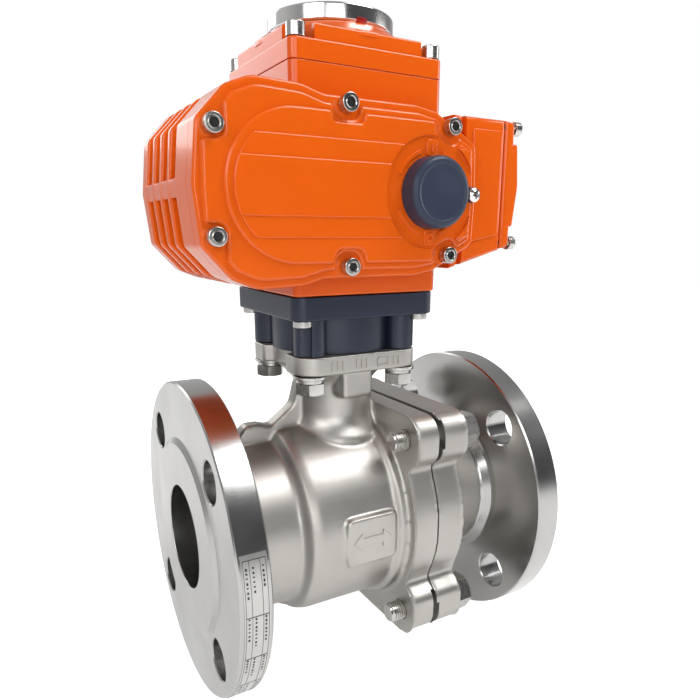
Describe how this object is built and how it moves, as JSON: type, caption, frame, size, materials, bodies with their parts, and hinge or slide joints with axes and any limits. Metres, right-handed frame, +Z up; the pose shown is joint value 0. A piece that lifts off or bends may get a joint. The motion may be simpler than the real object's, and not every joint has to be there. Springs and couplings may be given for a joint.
{
  "type": "motorized valve actuator on flanged ball valve",
  "caption": "Electric quarter-turn actuator bolted on a flanged two-piece ball valve, with worm gearing, a manual override under a hinged cap and a position indicator.",
  "frame": {"origin": "centre of the ball, where the pipe axis and the stem axis cross", "axes": "+X along the pipe from the inlet flange to the outlet flange, +Z up along the stem, the gear cover of the actuator faces -Y"},
  "size_m": [0.178, 0.1524, 0.3156],
  "materials": {
    "cast_stainless": "bead-blasted stainless casting with machined faces",
    "fastener_steel": "bright stainless fastener",
    "seat_polymer": "white seat polymer",
    "black_anodised": "black anodised satin",
    "orange_paint": "glossy satin orange powder coat",
    "polished_bezel": "polished turned ring",
    "clear_window": "clear indicator dome",
    "black_plastic": "moulded black plastic",
    "cap_rubber": "satin black rubber",
    "indicator_plastic": "moulded coloured plastic",
    "board": "green circuit board",
    "bronze": "machined bronze",
    "brass_gear": "machined brass",
    "turned_steel": "turned bright steel"
  },
  "bodies": {
    "casing": {"valve_body": "cast_stainless", "end_cap": "cast_stainless", "seat_inlet": "seat_polymer", "seat_outlet": "seat_polymer", "body_gasket": "seat_polymer", "stem_packing": "seat_polymer", "gland_nut": "turned_steel", "body_bolt_1": "fastener_steel", "body_bolt_2": "fastener_steel", "body_bolt_3": "fastener_steel", "body_bolt_4": "fastener_steel", "pad_bolt_1": "fastener_steel", "pad_bolt_2": "fastener_steel", "pad_bolt_3": "fastener_steel", "pad_bolt_4": "fastener_steel", "adapter_bracket": "black_anodised", "adapter_screw_1": "fastener_steel", "adapter_screw_2": "fastener_steel", "adapter_screw_3": "fastener_steel", "adapter_screw_4": "fastener_steel", "gearbox_housing": "orange_paint", "gear_cover": "orange_paint", "top_cover": "orange_paint", "wiring_cover": "orange_paint", "cover_screw_1": "fastener_steel", "cover_screw_2": "fastener_steel", "cover_screw_3": "fastener_steel", "cover_screw_4": "fastener_steel", "cover_screw_5": "fastener_steel", "cover_screw_6": "fastener_steel", "top_screw_1": "fastener_steel", "top_screw_2": "fastener_steel", "top_screw_3": "fastener_steel", "top_screw_4": "fastener_steel", "wiring_screw_1": "fastener_steel", "wiring_screw_2": "fastener_steel", "wiring_screw_3": "fastener_steel", "wiring_screw_4": "fastener_steel", "indicator_bezel": "polished_bezel", "indicator_window": "clear_window", "conduit_plug": "black_plastic", "motor": "turned_steel", "worm_bearing_front": "turned_steel", "worm_bearing_rear": "turned_steel", "terminal_board": "board", "limit_switch_open": "black_plastic", "limit_switch_close": "black_plastic", "cap_screw": "fastener_steel"},
    "quarter_turn": {"ball": "turned_steel", "stem": "turned_steel", "drive_coupling": "turned_steel", "output_shaft": "turned_steel", "worm_wheel": "bronze", "switch_cams": "indicator_plastic", "indicator_disc": "indicator_plastic"},
    "worm_drive": {"worm_shaft": "turned_steel", "drive_gear": "brass_gear"},
    "idler": {"idler_gear": "brass_gear"},
    "motor_rotor": {"motor_pinion": "turned_steel"},
    "cap": {"override_cap": "cap_rubber"}
  },
  "joints": [
    {"name": "quarter_turn", "type": "hinge", "parent": "casing", "child": "quarter_turn", "pos_m": [0, 0, 0], "axis": [0, 0, 1], "range_deg": [0, 90]},
    {"name": "worm_spin", "type": "hinge", "parent": "casing", "child": "worm_drive", "pos_m": [0.0233, 0, 0.162], "axis": [0, 1, 0], "range_deg": [-2161, 0]},
    {"name": "idler_spin", "type": "hinge", "parent": "casing", "child": "idler", "pos_m": [-0.0167, 0, 0.162], "axis": [0, 1, 0], "range_deg": [0, 1768]},
    {"name": "motor_spin", "type": "hinge", "parent": "casing", "child": "motor_rotor", "pos_m": [-0.0447, 0, 0.162], "axis": [0, 1, 0], "range_deg": [-6481, 0]},
    {"name": "cap_hinge", "type": "hinge", "parent": "casing", "child": "cap", "pos_m": [0.0413, -0.0503, 0.162], "axis": [0, 0, 1], "range_deg": [0, 90]}
  ],
  "couplings": [
    {"joint": "worm_spin", "follows": "quarter_turn", "ratio": -24},
    {"joint": "idler_spin", "follows": "quarter_turn", "ratio": 19.636},
    {"joint": "motor_spin", "follows": "quarter_turn", "ratio": -72}
  ]
}
